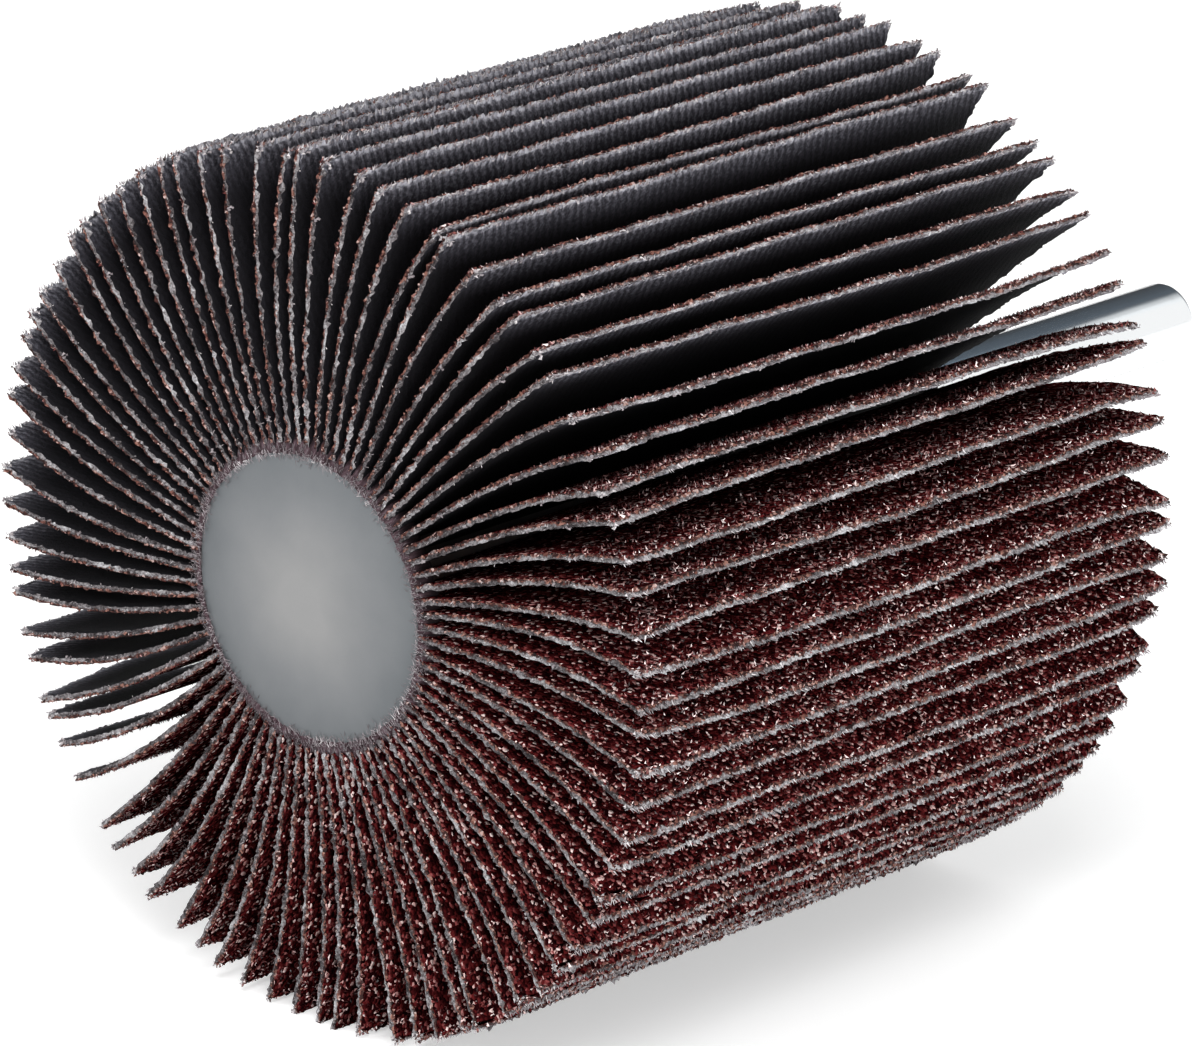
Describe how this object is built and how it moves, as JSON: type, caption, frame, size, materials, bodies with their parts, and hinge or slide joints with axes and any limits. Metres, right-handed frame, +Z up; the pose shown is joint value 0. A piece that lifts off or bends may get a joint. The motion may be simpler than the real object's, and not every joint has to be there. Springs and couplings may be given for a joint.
{
  "type": "flap wheel",
  "caption": "Spindle-mounted flap wheel: curved abrasive cloth leaves set radially in a resin core between domed end discs, on a plain round steel shank.",
  "frame": {"origin": "on the surface that the wheel lies on, under the middle of its bounding box", "axes": "+Y along the wheel's axis from the front face to the shank, +X to the right seen from the front, +Z up"},
  "size_m": [0.063, 0.0922, 0.0626],
  "materials": {
    "abrasive_cloth": "matte",
    "end_disc": "satin",
    "bright_steel": "polished"
  },
  "bodies": {
    "root": {"flap_pack": "abrasive_cloth", "front_disc": "end_disc", "rear_disc": "end_disc", "spindle": "bright_steel"}
  },
  "joints": []
}
